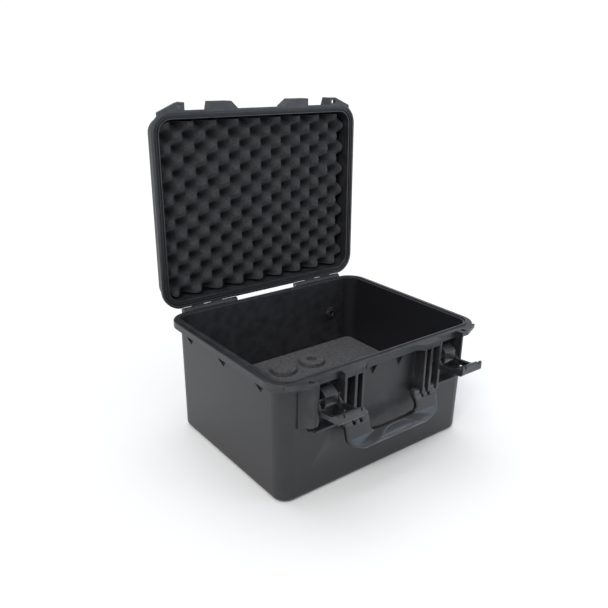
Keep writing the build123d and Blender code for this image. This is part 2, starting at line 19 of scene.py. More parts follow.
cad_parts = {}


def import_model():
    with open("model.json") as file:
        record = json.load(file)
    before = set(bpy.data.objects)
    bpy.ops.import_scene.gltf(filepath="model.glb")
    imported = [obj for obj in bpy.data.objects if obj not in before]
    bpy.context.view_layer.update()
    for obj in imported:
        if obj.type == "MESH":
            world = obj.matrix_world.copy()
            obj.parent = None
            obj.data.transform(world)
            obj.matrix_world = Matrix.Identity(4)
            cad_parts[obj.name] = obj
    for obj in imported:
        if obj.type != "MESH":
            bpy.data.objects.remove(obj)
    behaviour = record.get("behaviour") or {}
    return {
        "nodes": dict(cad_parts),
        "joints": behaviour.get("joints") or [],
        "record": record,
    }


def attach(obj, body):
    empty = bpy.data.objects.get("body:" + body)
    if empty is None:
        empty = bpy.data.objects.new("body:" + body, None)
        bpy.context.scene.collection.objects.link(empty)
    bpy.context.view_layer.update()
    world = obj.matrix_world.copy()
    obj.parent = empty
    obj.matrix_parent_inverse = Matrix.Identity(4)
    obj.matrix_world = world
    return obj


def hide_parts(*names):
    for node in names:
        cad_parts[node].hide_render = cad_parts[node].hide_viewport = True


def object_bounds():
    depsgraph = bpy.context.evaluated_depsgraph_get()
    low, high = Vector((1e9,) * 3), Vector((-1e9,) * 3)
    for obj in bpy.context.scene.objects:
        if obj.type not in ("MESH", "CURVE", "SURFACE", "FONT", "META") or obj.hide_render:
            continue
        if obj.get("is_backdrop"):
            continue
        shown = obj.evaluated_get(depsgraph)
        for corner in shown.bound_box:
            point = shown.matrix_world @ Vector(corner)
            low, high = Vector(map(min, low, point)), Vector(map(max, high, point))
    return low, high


log = logging.getLogger("equipment_case")
MM = 0.001
NEAR_AXIS = 1e-6
Array = np.ndarray
Colour = Tuple[float, float, float]


# --------------------------------------------------------------------------- mesh helpers
def make_piece(name: str, points: Array, faces: Sequence[Sequence[int]],
               smooth: bool = True) -> bpy.types.Object:
    """Put worked-out points and faces into a mesh object that sits at the origin.

    Args:
        name: the piece's name.
        points: array of n by 3 positions in metres.
        faces: vertex indices of each face, turning anticlockwise seen from outside.
        smooth: whether the faces are shaded smooth.

    Returns:
        The new object, linked to the scene.
    """
    mesh = bpy.data.meshes.new(name)
    corners = [list(map(int, face)) for face in faces]
    mesh.from_pydata(np.asarray(points, float).tolist(), [], corners)
    mesh.polygons.foreach_set("use_smooth", np.full(len(mesh.polygons), smooth))
    mesh.update()
    piece = bpy.data.objects.new(name, mesh)
    bpy.context.scene.collection.objects.link(piece)
    return piece


def grid_faces(rows: int, columns: int, wrap: bool = False, start: int = 0) -> Array:
    """Quads of a grid of points stored row by row.

    Args:
        rows: number of rows of points.
        columns: number of points in a row.
        wrap: whether the last column joins the first.
        start: index of the grid's first point.

    Returns:
        Array of quads, one row of four indices each.
    """
    across = columns if wrap else columns - 1
    row, column = np.meshgrid(np.arange(rows - 1), np.arange(across), indexing="ij")
    after = (column + 1) % columns
    first = row * columns + column
    second = row * columns + after
    return start + np.stack([first, second, second + columns, first + columns], -1).reshape(-1, 4)


def tube_piece(name: str, rings: Array) -> bpy.types.Object:
    """Closed skin over a stack of closed rings, with a flat cap at each end.

    Args:
        name: the piece's name.
        rings: array of rings by points by 3, each ring anticlockwise seen from the last ring.

    Returns:
        The new object.
    """
    count, around = rings.shape[:2]
    faces = [list(quad) for quad in grid_faces(count, around, wrap=True)]
    faces.append(list(range(around))[::-1])
    faces.append([(count - 1) * around + i for i in range(around)])
    return make_piece(name, rings.reshape(-1, 3), faces)


def join_pieces(name: str, parts: Sequence[bpy.types.Object]) -> bpy.types.Object:
    """Join several meshes into one named piece.

    Args:
        name: the name of the joined piece.
        parts: objects at the origin, the first of which receives the rest.

    Returns:
        The joined object.
    """
    points: List[Array] = []
    faces: List[List[int]] = []
    start = 0
    for part in parts:
        mesh = part.data
        co = np.empty(len(mesh.vertices) * 3)
        mesh.vertices.foreach_get("co", co)
        points.append(co.reshape(-1, 3))
        faces += [[start + v for v in polygon.vertices] for polygon in mesh.polygons]
        start += len(mesh.vertices)
        bpy.data.objects.remove(part)
    return make_piece(name, np.vstack(points), faces)


def write_share(piece: bpy.types.Object, name: str, share: Array) -> None:
    """Store one number per point, which a finish reads as a mask.

    Args:
        piece: the object that gets the attribute.
        name: the attribute's name.
        share: a number from 0 to 1 for each point.
    """
    layer = piece.data.attributes.new(name, "FLOAT", "POINT")
    layer.data.foreach_set("value", np.ascontiguousarray(share, dtype=np.float32))


def superellipse(angle: Array, power: float) -> Tuple[Array, Array]:
    """Unit superellipse: each of cosine and sine raised to 2/power, with its sign kept.

    Args:
        angle: angles in radians.
        power: 2 for a circle, larger for a squarer outline.

    Returns:
        The two coordinates, each from -1 to 1.
    """
    cosine, sine = np.cos(angle), np.sin(angle)
    return (
        np.sign(cosine) * np.abs(cosine) ** (2 / power),
        np.sign(sine) * np.abs(sine) ** (2 / power),
    )


def smooth_step(value: Array, low: float, high: float) -> Array:
    """Rise from 0 at low to 1 at high along the curve 3t^2 - 2t^3."""
    t = np.clip((value - low) / (high - low), 0.0, 1.0)
    return t * t * (3 - 2 * t)


# --------------------------------------------------------------------------- shader helpers
class NodeBench:
    """Adds nodes to one node tree and wires them by name."""

    def __init__(self, tree: bpy.types.NodeTree) -> None:
        """Keep the tree that the nodes go into.

        Args:
            tree: a material's or a group's node tree.
        """
        self.tree = tree

    def add(self, kind: str, **values: object) -> bpy.types.Node:
        """Add one node and set its properties and sockets.

        Args:
            kind: Blender's node type.
            **values: properties by name, and sockets by name with underscores for spaces, or by
                number as in0, in1. A socket gets a plain value or an output to link to it.

        Returns:
            The new node.
        """
        node = self.tree.nodes.new(kind)
        for key, value in values.items():
            if hasattr(node, key):
                setattr(node, key, value)
        for key, value in values.items():
            if hasattr(node, key):
                continue
            numbered = key.startswith("in") and key[2:].isdigit()
            index = int(key[2:]) if numbered else key.replace("_", " ")
            socket = node.inputs[index]
            if isinstance(value, bpy.types.NodeSocket):
                self.tree.links.new(value, socket)
            else:
                socket.default_value = value
        return node

    def math(self, operation: str, first: object, second: object, third: object = 0.0,
             clamp: bool = False) -> bpy.types.NodeSocket:
        """Add a Math node and return its value.

        Args:
            operation: Blender's name of the operation.
            first: a number or an output.
            second: a number or an output.
            third: a number or an output, which only MULTIPLY_ADD reads.
            clamp: whether the value is kept between 0 and 1.

        Returns:
            The node's output.
        """
        node = self.add("ShaderNodeMath", operation=operation, use_clamp=clamp,
                        in0=first, in1=second, in2=third)
        return node.outputs[0]

    def blend(self, factor: object, first: object, second: object) -> bpy.types.NodeSocket:
        """Mix two colours by a factor and return the colour, whose sockets are numbers 6 and 7."""
        node = self.add("ShaderNodeMix", data_type="RGBA", in0=factor, in6=first, in7=second)
        return node.outputs[2]

    def ramp(self, value: bpy.types.NodeSocket, low: float, high: float) -> bpy.types.NodeSocket:
        """Stretch a value so that low becomes 0 and high becomes 1."""
        node = self.add("ShaderNodeMapRange", Value=value, From_Min=low, From_Max=high)
        return node.outputs[0]

    def place(self) -> bpy.types.NodeSocket:
        """Positions in the case's own axes, which every pattern is drawn on."""
        return self.add("ShaderNodeTexCoord").outputs["Object"]

    def noise(self, scale: object, detail: float, roughness: float = 0.5) -> bpy.types.NodeSocket:
        """Add a noise pattern and return its value."""
        node = self.add("ShaderNodeTexNoise", Vector=self.place(), Scale=scale, Detail=detail,
                        Roughness=roughness)
        return node.outputs[0]

    def wire(self, output: bpy.types.NodeSocket, socket: bpy.types.NodeSocket) -> None:
        """Link an output to a socket."""
        self.tree.links.new(output, socket)


class SharedGroup:
    """A shader group with named sockets, and a bench to build it on."""

    def __init__(self, name: str, inputs: Dict[str, float], outputs: Sequence[str]) -> None:
        """Start the group.

        Args:
            name: the group's name.
            inputs: its inputs and their defaults.
            outputs: its outputs, each a value that changes over the surface.
        """
        self.tree = bpy.data.node_groups.new(name, "ShaderNodeTree")
        for key, value in inputs.items():
            self._socket(key, "INPUT").default_value = value
        for key in outputs:
            self._socket(key, "OUTPUT")
        self.bench = NodeBench(self.tree)
        self.given = self.tree.nodes.new("NodeGroupInput").outputs
        self.made = self.tree.nodes.new("NodeGroupOutput").inputs

    def _socket(self, key: str, way: str) -> bpy.types.NodeTreeInterfaceSocket:
        """Add one named number to the group's face."""
        return self.tree.interface.new_socket(key, in_out=way, socket_type="NodeSocketFloat")


class SurfaceEffects:
    """The shader groups that several finishes share."""

    FLAT_POINTINESS = 0.505

    def __init__(self) -> None:
        """Build each group once."""
        self.moulded_texture = self._moulded_texture()
        self.edge_wear_and_highlight = self._edge_wear_and_highlight()
        self.foam_cells = self._foam_cells()
        self.dust = self._dust()

    @staticmethod
    def _moulded_texture() -> bpy.types.NodeTree:
        """Spark-eroded mould grain: fine noise for the pips, a slow noise for uneven gloss."""
        group = SharedGroup("moulded_texture", {"Grain Scale": 1500.0, "Patch Scale": 7.0},
                            ("Height", "Patches"))
        bench = group.bench
        bench.wire(bench.noise(group.given[0], 2.0, 0.6), group.made[0])
        patches = bench.ramp(bench.noise(group.given[1], 4.0, 0.55), 0.35, 0.65)
        bench.wire(patches, group.made[1])
        return group.tree

    @classmethod
    def _edge_wear_and_highlight(cls) -> bpy.types.NodeTree:
        """Polished and rubbed edges, lightened partly as wear and partly as painted highlights:
        pointiness above the flat value, broken up by noise.
        """
        group = SharedGroup("edge_wear_and_highlight", {"Reach": 0.03, "Break Up": 60.0}, ("Mask",))
        bench = group.bench
        point = bench.add("ShaderNodeNewGeometry").outputs["Pointiness"]
        rise = bench.math("SUBTRACT", point, cls.FLAT_POINTINESS)
        edge = bench.math("DIVIDE", rise, group.given[0], clamp=True)
        broken = bench.ramp(bench.noise(group.given[1], 3.0), 0.25, 0.7)
        bench.wire(bench.math("MULTIPLY", edge, broken, clamp=True), group.made[0])
        return group.tree

    @staticmethod
    def _foam_cells() -> bpy.types.NodeTree:
        """Open cells: a cell pattern for the pores and noise for the clumps between them."""
        group = SharedGroup("foam_cells", {"Cell Scale": 900.0, "Clump Scale": 160.0},
                            ("Height", "Pores"))
        bench = group.bench
        cells = bench.add("ShaderNodeTexVoronoi", Vector=bench.place(), Scale=group.given[0])
        clumps = bench.noise(group.given[1], 6.0, 0.75)
        deep = bench.ramp(cells.outputs["Distance"], 0.05, 0.75)
        height = bench.math("ADD", bench.math("MULTIPLY", deep, 0.5), clumps)
        bench.wire(height, group.made[0])
        bench.wire(bench.math("MULTIPLY", deep, bench.ramp(clumps, 0.3, 0.7)), group.made[1])
        return group.tree

    @staticmethod
    def _dust() -> bpy.types.NodeTree:
        """Dust that settles on faces that look up, in soft uneven patches."""
        group = SharedGroup("dust", {"Amount": 0.3, "Patch Scale": 30.0}, ("Mask",))
        bench = group.bench
        normal = bench.add("ShaderNodeNewGeometry").outputs["Normal"]
        facing = bench.add("ShaderNodeSeparateXYZ", Vector=normal)
        upward = bench.ramp(facing.outputs[2], 0.3, 1.0)
        patches = bench.ramp(bench.noise(group.given[1], 5.0, 0.65), 0.3, 0.75)
        mask = bench.math("MULTIPLY", upward, patches)
        bench.wire(bench.math("MULTIPLY", mask, group.given[0], clamp=True), group.made[0])
        return group.tree


def new_material(name: str) -> Tuple[bpy.types.Material, NodeBench, bpy.types.Node]:
    """Start a material with one Principled shader.

    Args:
        name: the material's name.

    Returns:
        The material, a bench on its nodes, and its shader.
    """
    material = bpy.data.materials.new(name)
    material.use_nodes = True
    tree = material.node_tree
    return material, NodeBench(tree), tree.nodes["Principled BSDF"]


def set_plain(shader: bpy.types.Node, values: Dict[str, float]) -> None:
    """Set the shader's own sockets to numbers that are the same all over the surface."""
    for key, value in values.items():
        shader.inputs[key].default_value = value


def opaque(colour: Colour, share: float = 1.0) -> Tuple[float, ...]:
    """A colour, darkened to a share of itself, with full alpha."""
    return tuple(share * part for part in colour) + (1.0,)


@dataclass(frozen=True)
class MouldedPlastic:
    """Black moulded plastic with a mould grain, uneven gloss, edges lightened partly as wear and
    partly as painted highlights, and a little dust.
    """

    name: str
    colour: Colour
    worn_and_highlight: Colour
    roughness: float
    grain_scale: float = 900.0
    grain_depth: float = 0.00012
    grain_strength: float = 0.5
    wear_and_highlight: float = 0.5
    wear_polish: float = 0.08
    dust: float = 0.12
    dust_colour: Colour = (0.16, 0.16, 0.17)
    patch_shade: float = 0.97
    patch_gloss: float = 0.012
    coat: float = 0.0
    coat_roughness: float = 0.3
    edge_round: float = 0.0012
    edge_samples: int = 6

    def build(self, effects: SurfaceEffects) -> bpy.types.Material:
        """Make the material.

        Args:
            effects: the shared shader groups.

        Returns:
            The finished material.
        """
        material, bench, shader = new_material(self.name)
        texture = bench.add("ShaderNodeGroup", node_tree=effects.moulded_texture,
                            Grain_Scale=self.grain_scale)
        edges = bench.add("ShaderNodeGroup", node_tree=effects.edge_wear_and_highlight)
        settled = bench.add("ShaderNodeGroup", node_tree=effects.dust, Amount=self.dust)
        patches = texture.outputs["Patches"]
        base = bench.blend(patches, opaque(self.colour, self.patch_shade), opaque(self.colour))
        # Edge colour: lighter along the edges, partly as wear and partly as painted highlights.
        rubbed_and_highlight = bench.math("MULTIPLY", edges.outputs[0], self.wear_and_highlight, clamp=True)
        lit = bench.blend(rubbed_and_highlight, base, opaque(self.worn_and_highlight))
        dusty = bench.blend(settled.outputs[0], lit, opaque(self.dust_colour))
        bench.wire(dusty, shader.inputs["Base Color"])
        matt = bench.math("MULTIPLY_ADD", patches, self.patch_gloss,
                          self.roughness - self.patch_gloss / 2)
        polish = bench.math("MULTIPLY", rubbed_and_highlight, self.wear_polish)
        bench.wire(bench.math("SUBTRACT", matt, polish), shader.inputs["Roughness"])
        rounded = bench.add("ShaderNodeBevel", samples=self.edge_samples, Radius=self.edge_round)
        bump = bench.add("ShaderNodeBump", Height=texture.outputs["Height"],
                         Strength=self.grain_strength, Distance=self.grain_depth,
                         Normal=rounded.outputs[0])
        bench.wire(bump.outputs[0], shader.inputs["Normal"])
        set_plain(shader, {"Coat Weight": self.coat, "Coat Roughness": self.coat_roughness})
        return material


@dataclass(frozen=True)
class OpenCellFoam:
    """Charcoal open-cell foam: pores and clumps in height and colour, with a soft sheen.

    The per-point pit attribute, where a piece has it, darkens the bottoms of its pits: painted
    shade.
    """

    name: str
    colour: Colour
    pore: Colour
    cell_scale: float = 620.0
    depth: float = 0.0007
    strength: float = 0.9
    # Strength of the painted shade at the bottoms of the pits.
    painted_shade_in_pits: float = 0.85
    roughness: float = 0.95
    sheen: float = 0.06
    sheen_roughness: float = 0.6
    specular: float = 0.12

    def build(self, effects: SurfaceEffects) -> bpy.types.Material:
        """Make the material.

        Args:
            effects: the shared shader groups.

        Returns:
            The finished material.
        """
        material, bench, shader = new_material(self.name)
        cells = bench.add("ShaderNodeGroup", node_tree=effects.foam_cells,
                          Cell_Scale=self.cell_scale)
        mixed = bench.blend(cells.outputs["Pores"], opaque(self.colour), opaque(self.pore))
        # Painted shade: the pit attribute darkens the colour towards the pore colour at the bottoms
        # of the pits.
        pit = bench.add("ShaderNodeAttribute", attribute_name="pit_depth").outputs["Fac"]
        shade = bench.math("MULTIPLY", pit, self.painted_shade_in_pits, clamp=True)
        bench.wire(bench.blend(shade, mixed, opaque(self.pore)), shader.inputs["Base Color"])
        bump = bench.add("ShaderNodeBump", Height=cells.outputs["Height"],
                         Strength=self.strength, Distance=self.depth)
        bench.wire(bump.outputs[0], shader.inputs["Normal"])
        set_plain(shader, {
            "Roughness": self.roughness, "Sheen Weight": self.sheen,
            "Sheen Roughness": self.sheen_roughness, "Specular IOR Level": self.specular,
        })
        return material


@dataclass(frozen=True)
class PlainFinish:
    """A small part's finish: one metal or rubber with a fine grain along its surface."""

    name: str
    colour: Colour
    roughness: float
    metallic: float = 0.0
    grain_scale: float = 700.0
    grain_shade: float = 0.7
    grain_strength: float = 0.3
    grain_depth: float = 0.00003

    def build(self, effects: SurfaceEffects) -> bpy.types.Material:
        """Make the material.

        Args:
            effects: the shared shader groups.

        Returns:
            The finished material.
        """
        material, bench, shader = new_material(self.name)
        grain = bench.add("ShaderNodeGroup", node_tree=effects.moulded_texture,
                          Grain_Scale=self.grain_scale).outputs["Height"]
        tone = bench.blend(grain, opaque(self.colour, self.grain_shade), opaque(self.colour))
        bench.wire(tone, shader.inputs["Base Color"])
        bump = bench.add("ShaderNodeBump", Height=grain, Strength=self.grain_strength,
                         Distance=self.grain_depth)
        bench.wire(bump.outputs[0], shader.inputs["Normal"])
        set_plain(shader, {"Roughness": self.roughness, "Metallic": self.metallic})
        return material


class Finish(Enum):
    """The finishes of the case's pieces."""

    # The second colour of each plastic is its edge colour: partly worn plastic and partly painted
    # highlights.
    SHELL = MouldedPlastic("shell_plastic", (0.011, 0.0112, 0.0135), (0.05, 0.05, 0.055), 0.40)
    LATCH = MouldedPlastic("latch_plastic", (0.009, 0.0092, 0.0110), (0.05, 0.05, 0.055), 0.30,
                           grain_scale=1600.0, grain_depth=0.00004, wear_and_highlight=0.6, coat=0.15)
    LID_FOAM = OpenCellFoam("lid_foam", (0.058, 0.059, 0.064), (0.010, 0.010, 0.011))
    # The base foam's colour is paler than the lid foam's: partly its own tone and partly painted
    # light on its upward-facing top.
    BASE_FOAM = OpenCellFoam("base_foam", (0.13, 0.131, 0.14), (0.012, 0.012, 0.013),
                             depth=0.0009)
    SEAL = PlainFinish("seal_rubber", (0.018, 0.018, 0.019), 0.6)
    STEEL = PlainFinish("pin_steel", (0.42, 0.42, 0.43), 0.35, metallic=1.0, grain_scale=1800.0)
    CLOTH = PlainFinish("valve_cloth", (0.7, 0.7, 0.68), 0.9)


# --------------------------------------------------------------------------- where things are
@dataclass
class CaseLayout:
    """Places that the pieces share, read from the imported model."""

    hinge: Array
    open_angle: float

    @classmethod
    def from_frame(cls, joints: Sequence[dict]) -> "CaseLayout":
        """Read the lid hinge's place and how far it turns to shut.

        Args:
            joints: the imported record's joints.

        Returns:
            The layout.
        """
        lid = next(joint for joint in joints if joint["name"] == "lid_hinge")
        return cls(np.array(lid["pos_m"], float), math.radians(lid["range_deg"][1]))

    def open_lid(self, points: Array) -> Array:
        """Turn points of the shut lid to its open place, a rotation about X through the hinge."""
        y = points[..., 1] - self.hinge[1]
        z = points[..., 2] - self.hinge[2]
        cosine, sine = math.cos(self.open_angle), math.sin(self.open_angle)
        along = self.hinge[1] + y * cosine + z * sine
        up = self.hinge[2] - y * sine + z * cosine
        return np.stack([points[..., 0], along, up], -1)

    def shut_lid(self, points: Array) -> Array:
        """Turn points of the open lid back to its shut place."""
        return CaseLayout(self.hinge, -self.open_angle).open_lid(points)


def node_points(name: str) -> Array:
    """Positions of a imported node's vertices, as an n by 3 array."""
    mesh = bpy.data.objects[name].data
    co = np.empty(len(mesh.vertices) * 3)
    mesh.vertices.foreach_get("co", co)
    return co.reshape(-1, 3)


def rounded_slab(columns: Array, rows: Array, low: Array, high: Array, corner: float,
                 surface: Callable[[Array, Array], Array],
                 bottom: float) -> Tuple[Array, List[List[int]]]:
    """Closed slab over a rounded rectangle whose top is a height function.

    The grid runs straight in x. Each column of points is shortened in y near the ends by the
    corner's arc, r - sqrt(r^2 - d^2) with d the distance into the corner, so the outline is the
    rounded rectangle.

    Args:
        columns: x of each column of points, from low to high.
        rows: share of the column's half length, from -1 to 1.
        low: lowest x and y.
        high: highest x and y.
        corner: corner radius.
        surface: height of the top at arrays of x and y.
        bottom: height of the flat underside.

    Returns:
        The points and the faces.
    """
    centre = (low + high) / 2
    half = (high - low) / 2
    into = np.clip(np.abs(columns - centre[0]) - (half[0] - corner), 0, corner)
    short = corner - np.sqrt(np.maximum(corner**2 - into**2, 0))
    x, share = np.meshgrid(columns, rows, indexing="ij")
    reach = half[1] - short[:, None] * np.ones_like(share)
    inner = half[1] - corner
    out = np.abs(share) * half[1]
    squeezed = inner + (out - inner) * (reach - inner) / (half[1] - inner)
    y = centre[1] + np.sign(share) * np.where(out <= inner, out, squeezed)
    z = surface(x, y)
    count, deep = x.shape
    top = np.stack([x, y, z], -1).reshape(-1, 3)
    index = np.arange(count * deep).reshape(count, deep)
    rim = np.concatenate([index[:, 0], index[-1, 1:], index[-2::-1, -1], index[0, -2:0:-1]])
    below = top[rim].copy()
    below[:, 2] = bottom
    faces = [list(quad) for quad in grid_faces(count, deep)]
    lower = len(top) + np.arange(len(rim))
    for here in range(len(rim)):
        after = (here + 1) % len(rim)
        faces.append([rim[here], lower[here], lower[after], rim[after]])
    faces.append(list(lower[::-1]))
    return np.vstack([top, below]), faces


def edge_fall(x: Array, y: Array, low: Array, high: Array, radius: float) -> Array:
    """Drop of a rounded edge: the quarter circle r - sqrt(r^2 - d^2) within r of the outline."""
    near = np.minimum(np.minimum(x - low[0], high[0] - x), np.minimum(y - low[1], high[1] - y))
    into = radius - np.clip(near, 0, radius)
    return radius - np.sqrt(radius**2 - into**2)


# --------------------------------------------------------------------------- foam
class PlugKind(Enum):
    """The two lift-out plugs."""

    PLAIN = "plain"
    RING = "ring"


@dataclass
class EggCrateLining:
    """The lid's convoluted foam: a quincunx of pits cut into a thick sheet."""

    layout: CaseLayout
    pitch: Tuple[float, float] = (45 * MM, 42 * MM)
    first_pit: Tuple[float, float] = (-139 * MM, -85.4 * MM)
    depth: float = 27 * MM
    pit_power: float = 1.45
    shade_power: float = 1.6
    corner: float = 18.5 * MM
    edge_round: float = 3 * MM
    edge_share: float = 0.3
    hidden_back: float = 5 * MM
    step: float = 2.0 * MM

    def height(self, x: Array, y: Array, peak: float) -> Array:
        """Level of the foam's face in the shut lid.

        The share of a pit is (1 + cos(2 pi x / px) cos(2 pi y / py)) / 2, which is 1 at every
        pit of the quincunx and 0 at every peak. The power makes the pits narrow and the peaks
        broad.

        Args:
            x: positions across the lid.
            y: positions along the lid.
            peak: level of the peaks, which hang lowest in the shut lid.

        Returns:
            Levels of the face.
        """
        return peak + self.depth * self.pit_share(x, y) ** self.pit_power

    def pit_share(self, x: Array, y: Array) -> Array:
        """How far a point is into a pit, 1 at a pit's middle and 0 at a peak."""
        across = np.cos(2 * np.pi * (x - self.first_pit[0]) / self.pitch[0])
        along = np.cos(2 * np.pi * (y - self.first_pit[1]) / self.pitch[1])
        return (1 + across * along) / 2

    def build(self, material: bpy.types.Material) -> bpy.types.Object:
        """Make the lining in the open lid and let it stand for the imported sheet."""
        shut = self.layout.shut_lid(node_points("lid_foam"))
        low, high = shut.min(0), shut.max(0)
        columns = np.linspace(low[0], high[0], int((high[0] - low[0]) / self.step))
        rows = np.linspace(-1, 1, int((high[1] - low[1]) / self.step))

        def face_level(x: Array, y: Array) -> Array:
            """Face of the lining, turned over so that the slab's top is the side that shows."""
            fall = edge_fall(x, y, low, high, self.edge_round)
            return -self.height(x, y, low[2]) - self.edge_share * fall

        back = high[2] - self.hidden_back
        points, faces = rounded_slab(columns, rows, low[:2], high[:2], self.corner,
                                     face_level, -back)
        points[:, 2] *= -1
        piece = make_piece("lid_egg_crate_foam", self.layout.open_lid(points),
                           [face[::-1] for face in faces])
        # Painted shade for the pits: how far each point is into a pit, which the foam's finish
        # darkens.
        shade = self.pit_share(points[:, 0], points[:, 1]) ** self.shade_power
        write_share(piece, "pit_depth", shade)
        piece.data.materials.append(material)
        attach(piece, "lid")
        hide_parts("lid_foam")
        return piece


@dataclass
class BaseLining:
    """The foam block in the base, its slit and notches, and the two lift-out plugs."""

    corner: float = 18.0 * MM
    edge_round: float = 2.0 * MM
    sag: float = 0.25 * MM
    sag_waves: Tuple[float, float] = (37 * MM, 29 * MM)
    slit_x: float = 100 * MM
    slit_half: float = 0.6 * MM
    slit_deep: float = 10 * MM
    slit_ends: Tuple[float, float] = (-110 * MM, 110 * MM)
    slit_end_step: float = 0.002
    notch_places: Tuple[Tuple[float, float], ...] = (
        (-31 * MM, 51 * MM), (94 * MM, 146 * MM), (158 * MM, 146 * MM),
    )
    notch_deep: float = 2.5 * MM
    notch_reach: float = 2.4 * MM
    step: float = 4.0 * MM
    around: int = 96
    pocket_gap: float = 0.5 * MM
    pocket_below: float = 1 * MM
    cutter_above: float = 9 * MM
    plug_round: float = 2.6 * MM
    plug_pinch: float = 0.35 * MM
    plug_levels: int = 7
    top_rings: Tuple[float, ...] = (4, 8, 10, 11, 12, 13, 14, 16, 19)
    bore_radius: float = 10 * MM
    bore_deep: float = 28 * MM
    bore_round: float = 1.5 * MM
    finger_offset: float = 11 * MM
    finger_reach: float = 1.6 * MM
    finger_deep: float = 2.5 * MM

    def top_level(self, x: Array, y: Array, low: Array, high: Array) -> Array:
        """Height of the block's top: flat, with soft edges, a slit, small notches and a slow sag.

        The sag is a times (1 + sin(x / wx) cos(y / wy)), and each notch is a bell, d exp(-(r/w)^2).

        Args:
            x: positions across the block.
            y: positions along the block.
            low: the block's lowest corner.
            high: the block's highest corner.

        Returns:
            Levels of the top.
        """
        level = high[2] - edge_fall(x, y, low, high, self.edge_round)
        wave = np.sin(x / self.sag_waves[0]) * np.cos(y / self.sag_waves[1])
        level = level - self.sag * (1 + wave)
        beside = np.abs(x - self.slit_x) < self.slit_half
        in_slit = beside & (y > self.slit_ends[0]) & (y < self.slit_ends[1])
        level = np.where(in_slit, level - self.slit_deep, level)
        for place_x, place_y in self.notch_places:
            away = np.hypot(x - place_x, y - place_y)
            level = level - self.notch_deep * np.exp(-((away / self.notch_reach) ** 2))
        return level

    def grid_lines(self, low: Array, high: Array) -> Tuple[Array, Array]:
        """Where the block's grid lines run: evenly, and closer at its edges, slit and notches.

        Args:
            low: the block's lowest corner.
            high: the block's highest corner.

        Returns:
            x of each column of points, and the rows as shares of the half length.
        """
        even = np.linspace(low[0], high[0], int((high[0] - low[0]) / self.step))
        slit = self.slit_x + np.array([-1.2, -1.0, -0.4, 0.4, 1.0, 1.2]) * self.slit_half
        edges = np.array([0.3, 0.8, 1.5, 2.2]) * MM
        columns = np.unique(np.concatenate([even, slit, low[0] + edges, high[0] - edges]))
        for place_x, _ in self.notch_places:
            near = place_x + np.linspace(-5, 5, 9) * MM
            columns = np.unique(np.concatenate([columns, near]))
        columns = columns[(columns >= low[0]) & (columns <= high[0])]
        half = (high[1] - low[1]) / 2
        by_edges = 1 - np.repeat([0.3, 0.9, 1.9], 2) * MM / half
        by_notches = np.linspace(-4, 4, 7)
        rows = np.concatenate([
            np.linspace(-1, 1, int(2 * half / self.step)),
            np.tile([-1, 1], 3) * by_edges,
            [end / half + shift for end in self.slit_ends
             for shift in (-self.slit_end_step, self.slit_end_step)],
            [(place_y + offset * MM) / half for _, place_y in self.notch_places
             for offset in by_notches],
        ])
        return columns, np.unique(np.clip(rows, -1, 1))

    def block(self, material: bpy.types.Material) -> bpy.types.Object:
        """Make the block with its two round pockets cut through its top."""
        points = node_points("base_foam")
        low, high = points.min(0), points.max(0)
        columns, rows = self.grid_lines(low, high)

        def surface(x: Array, y: Array) -> Array:
            """Top of the block."""
            return self.top_level(x, y, low, high)

        grid, faces = rounded_slab(columns, rows, low[:2], high[:2], self.corner,
                                   surface, low[2])
        piece = make_piece("base_foam_block", grid, faces, smooth=False)
        for kind in PlugKind:
            self.cut_pocket(piece, node_points(f"foam_plug_{kind.value}"))
        piece.data.materials.clear()
        piece.data.materials.append(material)
        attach(piece, "base")
        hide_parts("base_foam")
        return piece

    def cut_pocket(self, block: bpy.types.Object, plug: Array) -> None:
        """Cut the pocket of one plug into the block, a little wider than the plug.

        Args:
            block: the foam block.
            plug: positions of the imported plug's vertices.
        """
        low, high = plug.min(0), plug.max(0)
        centre = (low + high) / 2
        radius = (high[0] - low[0]) / 2 + self.pocket_gap
        turn = np.linspace(0, 2 * np.pi, self.around, endpoint=False)
        x, y = centre[0] + radius * np.cos(turn), centre[1] + radius * np.sin(turn)
        levels = (low[2] - self.pocket_below, high[2] + self.cutter_above)
        rings = [np.column_stack([x, y, np.full(self.around, level)]) for level in levels]
        cutter = tube_piece("pocket_cutter", np.stack(rings))
        cut = block.modifiers.new("pocket", "BOOLEAN")
        cut.object = cutter
        cut.solver = "EXACT"
        graph = bpy.context.evaluated_depsgraph_get()
        cut_mesh = bpy.data.meshes.new_from_object(block.evaluated_get(graph))
        block.modifiers.clear()
        block.data = cut_mesh
        bpy.data.objects.remove(cutter)

